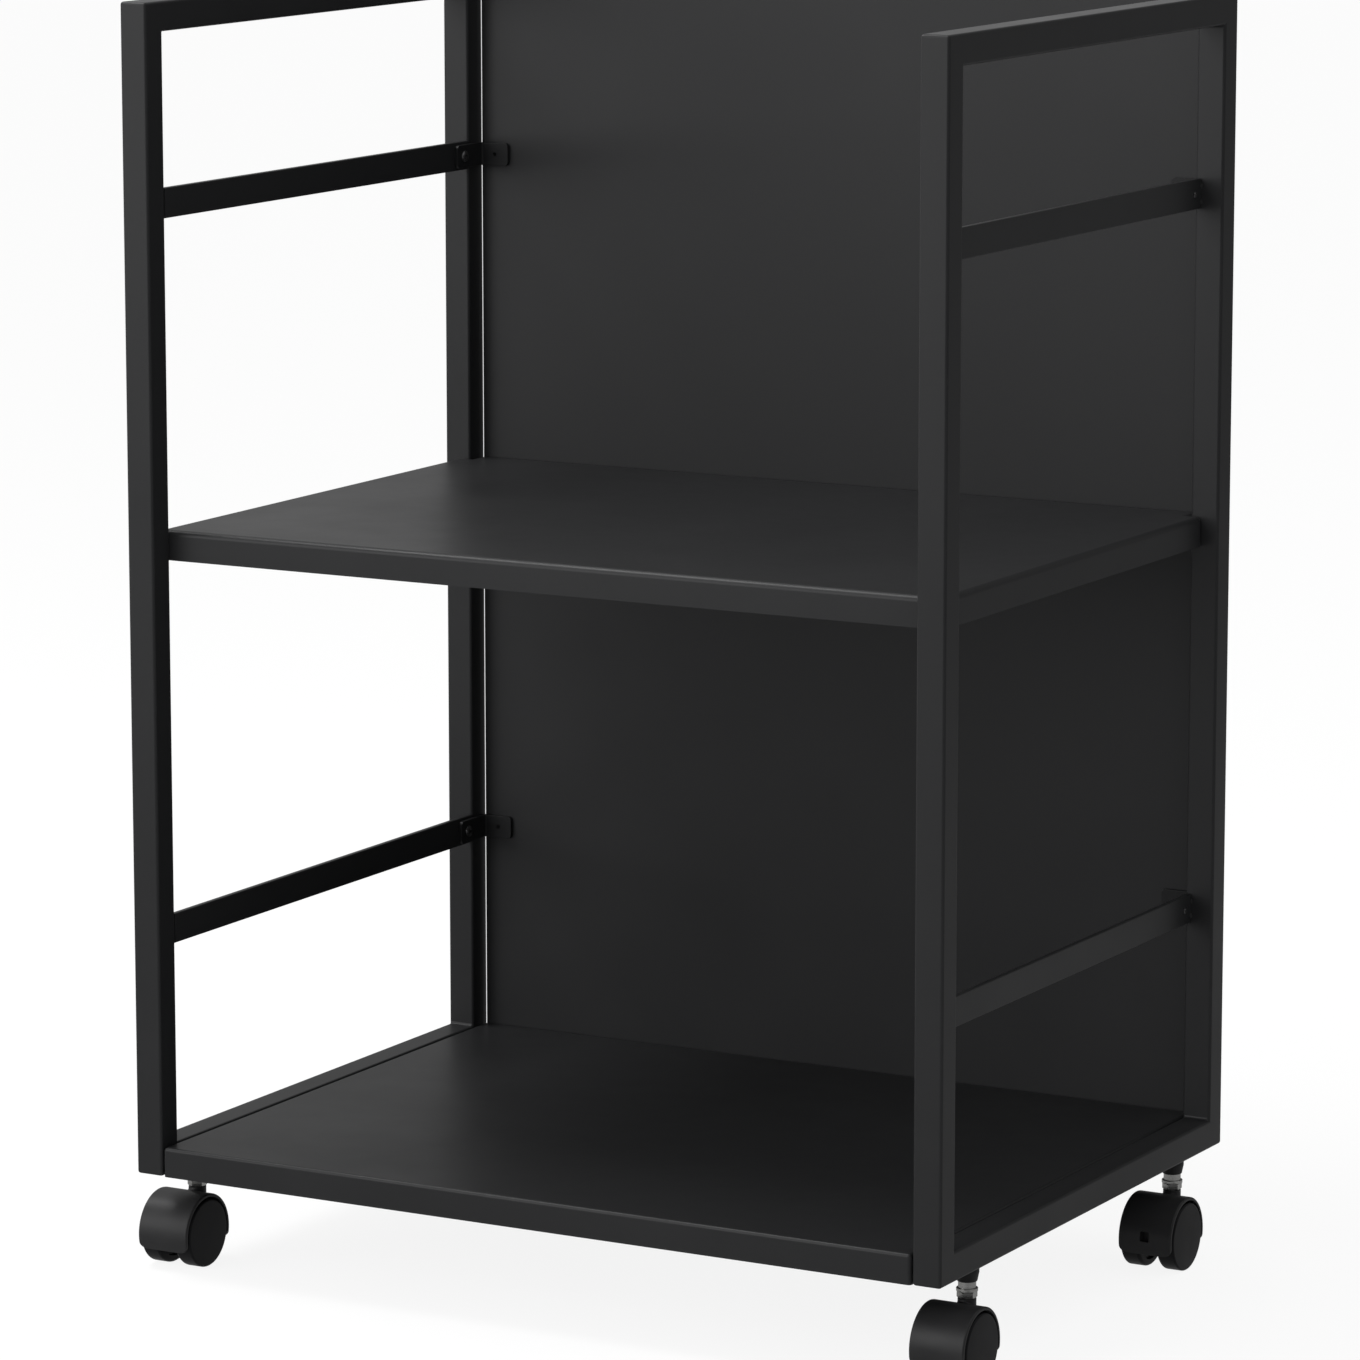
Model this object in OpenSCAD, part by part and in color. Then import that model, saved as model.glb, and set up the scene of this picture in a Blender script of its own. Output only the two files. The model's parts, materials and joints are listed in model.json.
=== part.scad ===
// Storage trolley: two rings of square tube, two sheet-metal shelves, a sheet back and four twin-wheel casters.
// The origin lies on the floor under the middle of the trolley. +X is its right side, +Y its back, +Z up.
// Heights of parts of the side frames are measured from the underside of the bottom rails.

/* [Side frames] */
// Width across the two side frames
frame_w = 600; // [420:5:900]
// Depth of each side frame
frame_d = 425; // [320:5:600]
// Height of each side frame, without the casters
frame_h = 780; // [720:5:1000]
// Outer side of the square tube
tube = 20; // [18:0.5:26]
// Wall of the square tube
tube_wall = 1.5; // [1:0.1:1.8]
// Outer corner radius of the square tube
tube_r = 2; // [1.9:0.1:3]

/* [Cross bars] */
// Height of a cross bar
bar_h = 20; // [17:0.5:30]
// Thickness of a cross bar
bar_t = 4; // [3:0.5:5]
// Edge radius of a cross bar
bar_r = 0.8; // [0.4:0.1:1.4]
// Height of the middle of the lower cross bars
lower_bar_z = 165.5; // [60:0.5:360]
// Height of the middle of the upper cross bars
upper_bar_z = 648.5; // [480:0.5:670]

/* [Shelves] */
// Thickness of the shelf sheet
shelf_t = 1.5; // [1:0.1:2]
// Depth of the folded edge of the bottom shelf
bottom_flange = 20; // [16:0.5:30]
// Depth of the folded edge of the middle shelf
middle_flange = 20; // [12:0.5:40]
// Outer radius of the folds
fold_r = 2.5; // [2.2:0.1:4]
// Height of the top of the middle shelf
middle_shelf_z = 433; // [250:1:560]
// Reach of the middle shelf past the inner faces of the posts
shelf_overlap = 8.5; // [4:0.5:12]
// Gap between the tubes and the sheet beside them, the thickness of a rivet nut's flange
shelf_gap = 1; // [0.5:0.1:2]
// Distance of the bottom shelf's screws from the middle, along the depth
shelf_screw_y = 100; // [40:1:120]

/* [Back panel] */
// Thickness of the back panel
panel_t = 1.5; // [1:0.1:2.5]
// Gap between the posts and the back panel
panel_gap = 1.5; // [0.5:0.1:4]
// Corner radius of the back panel
panel_r = 3; // [1:0.5:10]

/* [Panel brackets] */
// Height of a bracket
bracket_h = 16; // [12:0.5:16.5]
// Thickness of a bracket
bracket_t = 3; // [2:0.5:4]
// Length of the leg on the back panel, from the post
panel_leg = 24; // [18:0.5:40]
// Length of the leg on the cross bar, in front of the rear post
bar_leg = 19; // [15:0.5:40]
// Outer radius of a bracket's bend
bend_r = 4.5; // [4.1:0.1:6]
// Corner radius of a bracket's legs
leg_r = 2.5; // [1:0.1:4]

/* [Screws] */
// Thread diameter of the screws
screw_d = 4; // [3:0.5:4.5]
// Head diameter of the screws
head_d = 8; // [7:0.5:9]
// Head height of the screws, and the recess of the back panel
head_h = 2; // [1.6:0.1:3]
// Width across flats of the hexagon socket in a screw head
socket_af = 2.5; // [1.5:0.1:3]
// Distance of the bracket screws from the rear posts and from the end of the panel leg
screw_inset = 10.5; // [8:0.5:12]
// Length of a bracket screw's tip that stands out of the cross bar
tip_out = 1.2; // [0.2:0.1:3]
// Outer diameter of a rivet nut's sleeve
nut_d = 7; // [6.5:0.1:9]
// Diameter of a rivet nut's flange
nut_flange_d = 11; // [10:0.5:13]
// Length of a rivet nut's sleeve
nut_length = 9; // [6:0.5:12]
// Radial clearance of parts that are bolted or pressed together
seat_fit = 0.03; // [0.01:0.01:0.1]

/* [Casters] */
// Height of the side frames above the floor
caster_h = 70; // [66:0.5:90]
// Distance of the caster stems from the front and back of the frame
caster_inset = 57.5; // [50:0.5:90]
// Distance of the wheel axle in front of the stem
trail = 17; // [15:0.5:19]
// Width of a caster's hood
caster_w = 38.4; // [36:0.2:46]
// Wheel radius
wheel_r = 23; // [22:0.5:24]
// Radius of the wheel's outer edge
shoulder_r = 1.4; // [0.8:0.1:3]
// Radius of the wheel's inner edge
edge_r = 2.2; // [1:0.1:3]
// Distance by which the wheel stands out of the hood
wheel_proud = 1; // [0.6:0.1:2]
// Height of the crown on the wheel's outer face
crown = 0.5; // [0.2:0.1:1]
// Space between the two wheels of a caster
wheel_space = 13; // [12.6:0.1:16]
// Diameter of the axle
axle_d = 6; // [4:0.5:8]
// Radial clearance of the wheels and of the swivel pin
run_fit = 0.05; // [0.02:0.01:0.1]

/* [Caster hood] */
// Radial space between wheel and hood
hood_space = 1.5; // [0.8:0.1:1.8]
// Wall of the hood
hood_wall = 2.3; // [1.5:0.1:2.8]
// Outer edge radius of the hood
hood_edge_r = 1.2; // [0.5:0.1:1.2]
// Height of the hood's lower edge above the floor
hood_foot = 14; // [12:0.5:18]
// Radius of the hood's lower corners
hood_foot_r = 6; // [2:0.5:8]
// Width of the latch window in the rear hoods
latch_w = 6.5; // [3:0.5:8]
// Height of the latch window
latch_h = 7; // [3:0.5:8]
// Depth of the latch window
latch_depth = 6; // [3:0.5:8]
// Height of the middle of the latch window above the axle
latch_z = 3.5; // [-2:0.5:6]
// Thickness of the web between the wheels
web_t = 11; // [8:0.5:11.5]
// Diameter of the socket for the swivel pin
socket_d = 12; // [10:0.5:12.4]
// Diameter of the flare where the socket meets the hood
flare_d = 15; // [13:0.5:18]

/* [Caster stem] */
// Diameter of the swivel pin
pin_d = 7; // [5:0.5:8]
// Length of the swivel pin in its socket
pin_length = 19; // [12:0.5:22]
// Height of the top of the socket above the floor
socket_top = 50; // [49:0.5:52]
// Gap between the socket and the hexagon above it
socket_play = 0.2; // [0.1:0.05:0.5]
// Width across flats of the stem's hexagon
hex_af = 11.5; // [8:0.5:12]
// Height of the stem's hexagon
hex_h = 4.2; // [3:0.1:5]
// Diameter of the stem's washer
washer_d = 14; // [11:0.5:15]
// Thickness of the stem's washer
washer_t = 2.3; // [1:0.1:2.5]
// Diameter of the stem's collar
collar_d = 11.6; // [8.8:0.1:12.4]
// Thread diameter of the stem
stem_d = 8; // [6:0.5:8.4]
// Height of the bush below the bottom rail
bush_h = 9; // [6:0.5:9]
// Diameter of the bush at its foot
bush_foot_d = 13; // [10.4:0.1:14]
// Diameter of the bush under the rail
bush_top_d = 15.5; // [14:0.5:17]
// Diameter of the bush inside the rail
bush_neck_d = 12; // [11:0.5:13]
// Length of the bush inside the rail
bush_neck_h = 14; // [8:0.5:15]

/* [Hidden] */
$fn = 48;
cut = 1;
left = -1;
right = 1;
front = -1;
rear = 1;
steel = "#26272a";
sheet = "#2d2e31";
plastic = "#1c1d1f";
zinc = "#a9abad";

foot_z = caster_h;
head_z = caster_h + frame_h;
half_w = frame_w / 2;
half_d = frame_d / 2;
inner_x = half_w - tube;
tube_x = half_w - tube / 2;
post_y = half_d - tube;
panel_back_y = half_d - head_h;
panel_front_y = panel_back_y - panel_t;
bottom_shelf_top = foot_z + tube;
middle_shelf_top = foot_z + middle_shelf_z;
bar_screw_y = post_y - screw_inset;
panel_screw_x = inner_x - panel_leg + screw_inset;
caster_y = half_d - caster_inset;
shelf_screw_z = bottom_shelf_top - bottom_flange / 2;
screw_r = screw_d / 2;
hole_r = screw_r + seat_fit;
hood_in_r = wheel_r + hood_space;
hood_r = hood_in_r + hood_wall;
wheel_in_x = wheel_space / 2;
wheel_out_x = caster_w / 2 + wheel_proud;
face_r = wheel_r - shoulder_r;
crown_r = (pow(face_r, 2) + pow(crown, 2)) / (2 * crown);
axle_half = wheel_out_x - crown - 2.5;
hex_z = socket_top + socket_play;
washer_z = hex_z + hex_h;
collar_z = washer_z + washer_t;
bush_z = foot_z - bush_h;

// Square of side s with round corners, centred
module round_square(s, r) {
    square([s - 2 * r, s], center = true);
    square([s, s - 2 * r], center = true);
    for (x = [-1, 1])
        for (y = [-1, 1])
            translate([x * (s / 2 - r), y * (s / 2 - r)]) circle(r);
}

// Rectangle from corner a to corner b with round corners
module round_rect(a, b, r) {
    translate([a.x + r, a.y]) square([b.x - a.x - 2 * r, b.y - a.y]);
    translate([a.x, a.y + r]) square([b.x - a.x, b.y - a.y - 2 * r]);
    for (x = [a.x + r, b.x - r])
        for (y = [a.y + r, b.y - r])
            translate([x, y]) circle(r);
}

// Rectangle from corner a to corner b with its two upper corners round
module arched_rect(a, b, r) {
    translate(a) square([b.x - a.x, b.y - a.y - r]);
    translate([a.x + r, a.y]) square([b.x - a.x - 2 * r, b.y - a.y]);
    for (x = [a.x + r, b.x - r])
        translate([x, b.y - r]) circle(r);
}

// Pushes an outline drawn in X and Z along Y, from y0 to y1
module along_y(y0, y1) {
    translate([0, y1, 0]) rotate([90, 0, 0]) linear_extrude(y1 - y0) children();
}

// Pushes an outline drawn in Y and Z along X, from x0 to x1
module along_x(x0, x1) {
    translate([x0, 0, 0]) rotate([90, 0, 90]) linear_extrude(x1 - x0) children();
}

// Hollow section of the square tube
module tube_section() {
    difference() {
        round_square(tube, tube_r);
        round_square(tube - 2 * tube_wall, max(tube_r - tube_wall, 0.3));
    }
}

// Upright of a side frame, mitred at both ends
module post(side, end) {
    color(steel)
    intersection() {
        translate([side * tube_x, end * (half_d - tube / 2), foot_z]) linear_extrude(frame_h) tube_section();
        along_x(side * tube_x - tube, side * tube_x + tube)
            polygon([
                [end * half_d, foot_z],
                [end * post_y, foot_z + tube],
                [end * post_y, head_z - tube],
                [end * half_d, head_z]
            ]);
    }
}

// Rail of a side frame, mitred at both ends; out_z is its outer face and in_z its inner one
module rail(side, out_z, in_z) {
    intersection() {
        translate([side * tube_x, 0, (out_z + in_z) / 2])
            rotate([90, 0, 0]) linear_extrude(frame_d, center = true) tube_section();
        along_x(side * tube_x - tube, side * tube_x + tube)
            polygon([
                [-half_d, out_z],
                [half_d, out_z],
                [post_y, in_z],
                [-post_y, in_z]
            ]);
    }
}

module top_rail(side) {
    color(steel) rail(side, head_z, head_z - tube);
}

module bottom_rail(side) {
    color(steel)
    difference() {
        rail(side, foot_z, foot_z + tube);
        for (end = [front, rear])
            translate([side * tube_x, end * caster_y, foot_z - cut])
                cylinder(r = bush_neck_d / 2 + seat_fit, h = tube_wall + 2 * cut);
        for (y = [-shelf_screw_y, shelf_screw_y])
            translate([side * inner_x, y, shelf_screw_z]) rotate([0, 90, 0])
                cylinder(r = nut_d / 2 + seat_fit, h = 2 * (tube_wall + cut), center = true);
    }
}

// Flat bar between the posts, its inner face level with theirs; z is the height of its middle
module cross_bar(side, z) {
    x = side * (inner_x + bar_t / 2);
    color(steel)
    difference() {
        along_y(-post_y, post_y)
            round_rect([x - bar_t / 2, foot_z + z - bar_h / 2], [x + bar_t / 2, foot_z + z + bar_h / 2], bar_r);
        translate([x, bar_screw_y, foot_z + z]) rotate([0, 90, 0])
            cylinder(r = hole_r, h = bar_t + 2 * cut, center = true);
    }
}

// Block with round upper edges and corners, from corner a to corner b
module folded_block(a, b, r) {
    intersection() {
        along_y(a.y, b.y) arched_rect([a.x, a.z], [b.x, b.z], r);
        along_x(a.x, b.x) arched_rect([a.y, a.z], [b.y, b.z], r);
        translate([0, 0, a.z]) linear_extrude(b.z - a.z) round_rect([a.x, a.y], [b.x, b.y], r);
    }
}

// Hollow under a folded block of the same size
module folded_hollow(a, b, r) {
    folded_block([a.x + shelf_t, a.y + shelf_t, a.z - cut], b - [shelf_t, shelf_t, shelf_t], max(r - shelf_t, 0.3));
}

module bottom_shelf() {
    low = [shelf_gap - inner_x, -half_d, bottom_shelf_top - bottom_flange];
    high = [inner_x - shelf_gap, panel_front_y, bottom_shelf_top];
    color(sheet)
    difference() {
        folded_block(low, high, fold_r);
        folded_hollow(low, high, fold_r);
        for (side = [left, right])
            for (y = [-shelf_screw_y, shelf_screw_y])
                translate([side * inner_x, y, shelf_screw_z]) rotate([0, 90, 0])
                    cylinder(r = hole_r, h = 2 * (shelf_gap + shelf_t + cut), center = true);
    }
}

// The shelf fits between the posts and reaches between the rear ones to the back panel
module middle_shelf() {
    bottom = middle_shelf_top - middle_flange;
    wide_x = inner_x + shelf_overlap;
    slim_x = inner_x - shelf_gap;
    color(sheet)
    difference() {
        union() {
            folded_block([-wide_x, -post_y, bottom], [wide_x, post_y, middle_shelf_top], fold_r);
            folded_block([-slim_x, -post_y, bottom], [slim_x, panel_front_y, middle_shelf_top], fold_r);
        }
        folded_hollow([-wide_x, -post_y, bottom], [wide_x, post_y, middle_shelf_top], fold_r);
        folded_hollow([-slim_x, -post_y, bottom], [slim_x, panel_front_y, middle_shelf_top], fold_r);
    }
}

module back_panel() {
    x = inner_x - panel_gap;
    color(sheet)
    difference() {
        along_y(panel_front_y, panel_back_y) round_rect([-x, foot_z], [x, head_z], panel_r);
        for (side = [left, right])
            for (z = [lower_bar_z, upper_bar_z])
                translate([side * panel_screw_x, panel_front_y - cut, foot_z + z]) rotate([-90, 0, 0])
                    cylinder(r = hole_r, h = panel_t + 2 * cut);
    }
}

// Bent plate that holds the back panel to a cross bar
module bracket(side, z) {
    low = foot_z + z - bracket_h / 2;
    high = foot_z + z + bracket_h / 2;
    front_y = post_y - bar_leg;
    end_x = inner_x - panel_leg;
    color(steel)
    mirror([side == left ? 1 : 0, 0, 0])
    difference() {
        intersection() {
            translate([0, 0, low]) linear_extrude(bracket_h) bracket_plan(front_y, end_x);
            along_x(end_x, inner_x) round_rect([front_y, low], [panel_front_y + bend_r, high], leg_r);
            along_y(front_y, panel_front_y) round_rect([end_x, low], [inner_x + bend_r, high], leg_r);
        }
        translate([inner_x, bar_screw_y, foot_z + z]) rotate([0, 90, 0])
            cylinder(r = hole_r, h = 2 * (bracket_t + cut), center = true);
        translate([panel_screw_x, panel_front_y, foot_z + z]) rotate([90, 0, 0])
            cylinder(r = hole_r, h = 2 * (bracket_t + cut), center = true);
    }
}

// Outline of a right-hand bracket from above
module bracket_plan(front_y, end_x) {
    inside_r = bend_r - bracket_t;
    bend = [inner_x - bend_r, panel_front_y - bend_r];
    translate([inner_x - bracket_t, front_y]) square([bracket_t, bend.y - front_y]);
    translate([end_x, panel_front_y - bracket_t]) square([bend.x - end_x, bracket_t]);
    intersection() {
        difference() {
            translate(bend) circle(bend_r);
            translate(bend) circle(inside_r);
        }
        translate(bend) square(bend_r);
    }
}

// Screw with a domed head: its head stands on the plane z = 0 and its thread reaches down to -length
module screw(length) {
    dome_r = (pow(head_d / 2, 2) + pow(head_h, 2)) / (2 * head_h);
    difference() {
        union() {
            translate([0, 0, -length]) cylinder(r = screw_r, h = length + head_h / 4);
            intersection() {
                translate([0, 0, head_h - dome_r]) sphere(dome_r);
                cylinder(r = head_d / 2, h = head_h);
            }
        }
        translate([0, 0, head_h / 3]) cylinder(d = socket_af / cos(30), h = head_h, $fn = 6);
    }
}

// The heads lie on the brackets and the tips stand out of the cross bars
module bracket_screws() {
    color(steel)
    for (side = [left, right])
        for (z = [lower_bar_z, upper_bar_z])
            translate([side * (inner_x - bracket_t), bar_screw_y, foot_z + z]) rotate([0, -side * 90, 0])
                screw(bracket_t + bar_t + tip_out);
}

// The heads lie on the back of the panel and the threads end in the brackets
module panel_screws() {
    color(steel)
    for (side = [left, right])
        for (z = [lower_bar_z, upper_bar_z])
            translate([side * panel_screw_x, panel_back_y, foot_z + z]) rotate([-90, 0, 0])
                screw(panel_t + bracket_t);
}

// The heads lie on the inner faces of the bottom shelf's side flanges
module shelf_screws() {
    color(steel)
    for (side = [left, right])
        for (y = [-shelf_screw_y, shelf_screw_y])
            translate([side * (inner_x - shelf_gap - shelf_t), y, shelf_screw_z]) rotate([0, -side * 90, 0])
                screw(shelf_t + shelf_gap + nut_length);
}

// The flanges keep the bottom shelf clear of the rails, and the sleeves lie in the rails
module shelf_rivet_nuts() {
    color(zinc)
    for (side = [left, right])
        for (y = [-shelf_screw_y, shelf_screw_y])
            translate([side * inner_x, y, shelf_screw_z]) rotate([0, side * 90, 0])
                difference() {
                    union() {
                        cylinder(r = nut_d / 2, h = nut_length);
                        translate([0, 0, -shelf_gap]) cylinder(r = nut_flange_d / 2, h = shelf_gap);
                    }
                    translate([0, 0, -shelf_gap - cut]) cylinder(r = hole_r, h = nut_length + shelf_gap + 2 * cut);
                }
}

// Moves a caster's piece from the stem's axis over the origin to its corner
module at_corner(end, side) {
    translate([side * tube_x, end * caster_y, 0]) children();
}

// Turns a body of revolution about the wheel axle; its +Z end goes to the given side
module on_axle(side) {
    translate([0, -trail, wheel_r]) rotate([0, side * 90, 0]) children();
}

// Flared bush in the bottom rail
module bush(end, side) {
    flare_h = bush_h * 2 / 3;
    color(plastic)
    at_corner(end, side)
    difference() {
        union() {
            translate([0, 0, bush_z]) cylinder(r1 = bush_foot_d / 2, r2 = bush_top_d / 2, h = flare_h);
            translate([0, 0, bush_z + flare_h]) cylinder(r = bush_top_d / 2, h = bush_h - flare_h);
            translate([0, 0, foot_z - cut]) cylinder(r = bush_neck_d / 2, h = cut + bush_neck_h);
        }
        translate([0, 0, bush_z - cut]) cylinder(r = stem_d / 2 + seat_fit, h = bush_h + bush_neck_h + 2 * cut);
    }
}

// Plated stem: swivel pin, hexagon, collar and thread
module stem(end, side) {
    color(zinc)
    at_corner(end, side) {
        translate([0, 0, socket_top - pin_length]) cylinder(r = pin_d / 2, h = pin_length + socket_play + cut);
        translate([0, 0, hex_z]) cylinder(d = hex_af / cos(30), h = hex_h, $fn = 6);
        translate([0, 0, washer_z - cut]) cylinder(r = stem_d / 2, h = foot_z + bush_neck_h - washer_z + cut);
        translate([0, 0, collar_z]) cylinder(r = collar_d / 2, h = bush_z - collar_z);
    }
}

module stem_washers() {
    color(zinc)
    for (end = [front, rear])
        for (side = [left, right])
            at_corner(end, side)
                difference() {
                    translate([0, 0, washer_z]) cylinder(r = washer_d / 2, h = washer_t);
                    translate([0, 0, washer_z - cut]) cylinder(r = stem_d / 2 + seat_fit, h = washer_t + 2 * cut);
                }
}

// Half of the hood's section, radius along X and width along Y
module hood_section() {
    half = caster_w / 2;
    difference() {
        union() {
            translate([0, hood_edge_r - half]) square([hood_r, caster_w - 2 * hood_edge_r]);
            translate([0, -half]) square([hood_r - hood_edge_r, caster_w]);
            for (y = [hood_edge_r - half, half - hood_edge_r])
                translate([hood_r - hood_edge_r, y]) circle(hood_edge_r);
        }
        translate([-cut, -half - cut]) square([hood_in_r + cut, caster_w + 2 * cut]);
    }
}

// Shell over both wheels, open at the sides, with round lower corners
module hood_shell() {
    intersection() {
        on_axle(right) rotate_extrude() hood_section();
        along_y(-trail - hood_r, -trail + hood_r)
            round_rect([-caster_w / 2, hood_foot], [caster_w / 2, wheel_r + 2 * hood_r], hood_foot_r);
    }
}

// Hood with its web between the wheels and the socket for the swivel pin; the rear ones have a latch window
module hood(end, side) {
    boss_r = axle_d / 2 + 3;
    wheel_free = 0.25;
    neck_z = wheel_r + sqrt(pow(hood_r, 2) - pow(trail, 2));
    socket_foot = wheel_r + 4;
    color(plastic)
    at_corner(end, side)
    difference() {
        union() {
            hood_shell();
            intersection() {
                translate([0, -trail, wheel_r]) rotate([0, 90, 0])
                    cylinder(r = hood_in_r + hood_wall / 2, h = web_t, center = true);
                translate([-web_t / 2, -trail - hood_r, wheel_r]) cube([web_t, 2 * hood_r, hood_r]);
            }
            translate([0, -trail, wheel_r]) rotate([0, 90, 0]) cylinder(r = boss_r, h = wheel_space, center = true);
            translate([0, 0, socket_foot]) cylinder(r = socket_d / 2, h = socket_top - socket_foot);
            translate([0, 0, neck_z]) cylinder(r1 = flare_d / 2, r2 = socket_d / 2, h = (flare_d - socket_d) / 2 + 1);
        }
        for (x = [left, right])
            on_axle(x) translate([0, 0, wheel_in_x - wheel_free])
                cylinder(r = hood_in_r, h = caster_w / 2);
        translate([0, 0, socket_foot - cut]) cylinder(r = pin_d / 2 + run_fit, h = socket_top - socket_foot + 2 * cut);
        if (end == rear)
            translate([-latch_w / 2, -trail - hood_r - cut, wheel_r + latch_z - latch_h / 2])
                cube([latch_w, latch_depth + cut, latch_h]);
        translate([0, -trail, wheel_r]) rotate([0, 90, 0])
            cylinder(r = axle_d / 2 + seat_fit, h = caster_w, center = true);
    }
}

module axle(end, side) {
    color(zinc)
    at_corner(end, side)
        translate([0, -trail, wheel_r]) rotate([0, 90, 0]) cylinder(r = axle_d / 2, h = 2 * axle_half, center = true);
}

// Half of the wheel's section, radius along X and width along Y
module wheel_section() {
    face_x = wheel_out_x - crown;
    translate([0, wheel_in_x + edge_r]) square([wheel_r, face_x - shoulder_r - wheel_in_x - edge_r]);
    translate([0, wheel_in_x]) square([wheel_r - edge_r, face_x - shoulder_r - wheel_in_x]);
    translate([0, wheel_in_x]) square([face_r, face_x - wheel_in_x]);
    translate([wheel_r - edge_r, wheel_in_x + edge_r]) circle(edge_r);
    translate([face_r, face_x - shoulder_r]) circle(shoulder_r);
    intersection() {
        translate([0, wheel_out_x - crown_r]) circle(crown_r, $fn = 360);
        translate([0, wheel_in_x]) square([face_r, wheel_out_x - wheel_in_x]);
    }
}

// Wheel on the given side of the web; corner is the side of the trolley that its caster is on
module wheel(end, corner, side) {
    color(plastic)
    at_corner(end, corner) on_axle(side)
    difference() {
        rotate_extrude() wheel_section();
        translate([0, 0, wheel_in_x - cut]) cylinder(r = axle_d / 2 + run_fit, h = axle_half - wheel_in_x + cut + 0.5);
    }
}

post(left, front);  // left_front_post
post(left, rear);  // left_rear_post
top_rail(left);  // left_top_rail
bottom_rail(left);  // left_bottom_rail
cross_bar(left, upper_bar_z);  // left_upper_bar
cross_bar(left, lower_bar_z);  // left_lower_bar
post(right, front);  // right_front_post
post(right, rear);  // right_rear_post
top_rail(right);  // right_top_rail
bottom_rail(right);  // right_bottom_rail
cross_bar(right, upper_bar_z);  // right_upper_bar
cross_bar(right, lower_bar_z);  // right_lower_bar
bottom_shelf();
middle_shelf();
back_panel();
bracket(left, upper_bar_z);  // left_upper_bracket
bracket(left, lower_bar_z);  // left_lower_bracket
bracket(right, upper_bar_z);  // right_upper_bracket
bracket(right, lower_bar_z);  // right_lower_bracket
bracket_screws();
panel_screws();
shelf_screws();
shelf_rivet_nuts();
stem_washers();
bush(front, left);  // front_left_bush
stem(front, left);  // front_left_stem
hood(front, left);  // front_left_hood
axle(front, left);  // front_left_axle
wheel(front, left, left);  // front_left_wheel_outer
wheel(front, left, right);  // front_left_wheel_inner
bush(front, right);  // front_right_bush
stem(front, right);  // front_right_stem
hood(front, right);  // front_right_hood
axle(front, right);  // front_right_axle
wheel(front, right, right);  // front_right_wheel_outer
wheel(front, right, left);  // front_right_wheel_inner
bush(rear, left);  // rear_left_bush
stem(rear, left);  // rear_left_stem
hood(rear, left);  // rear_left_hood
axle(rear, left);  // rear_left_axle
wheel(rear, left, left);  // rear_left_wheel_outer
wheel(rear, left, right);  // rear_left_wheel_inner
bush(rear, right);  // rear_right_bush
stem(rear, right);  // rear_right_stem
hood(rear, right);  // rear_right_hood
axle(rear, right);  // rear_right_axle
wheel(rear, right, right);  // rear_right_wheel_outer
wheel(rear, right, left);  // rear_right_wheel_inner
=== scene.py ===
import json
import math
import bmesh
import bpy
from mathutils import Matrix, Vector


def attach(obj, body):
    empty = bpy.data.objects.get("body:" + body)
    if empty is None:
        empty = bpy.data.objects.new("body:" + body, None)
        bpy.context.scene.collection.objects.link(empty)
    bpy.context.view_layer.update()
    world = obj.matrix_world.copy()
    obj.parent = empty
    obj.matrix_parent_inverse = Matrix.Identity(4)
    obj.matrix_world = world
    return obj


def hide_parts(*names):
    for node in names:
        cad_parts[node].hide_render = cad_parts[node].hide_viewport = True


# Storage trolley in satin black powder coat, on zinc-plated casters with black nylon wheels.
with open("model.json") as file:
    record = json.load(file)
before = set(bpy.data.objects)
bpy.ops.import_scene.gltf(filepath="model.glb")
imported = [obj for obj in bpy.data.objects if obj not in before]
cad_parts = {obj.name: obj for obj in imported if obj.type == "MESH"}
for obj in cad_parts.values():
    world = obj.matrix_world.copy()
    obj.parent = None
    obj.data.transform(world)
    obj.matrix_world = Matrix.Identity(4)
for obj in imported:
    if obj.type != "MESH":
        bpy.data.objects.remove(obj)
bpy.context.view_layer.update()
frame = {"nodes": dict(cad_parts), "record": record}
nodes = frame["nodes"]
print("frame loaded:", len(nodes), "nodes")


# Shader graphs

class Wire:
    # one output socket of a graph; a product with a wire adds a Math node
    def __init__(self, graph, socket):
        self.graph = graph
        self.socket = socket

    def combine(self, operation, first, second):
        return self.graph.node("ShaderNodeMath", {"operation": operation}, [first, second])

    def __mul__(self, other):
        return self.combine("MULTIPLY", self, other)

    def __rmul__(self, other):
        return self.combine("MULTIPLY", other, self)


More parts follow.
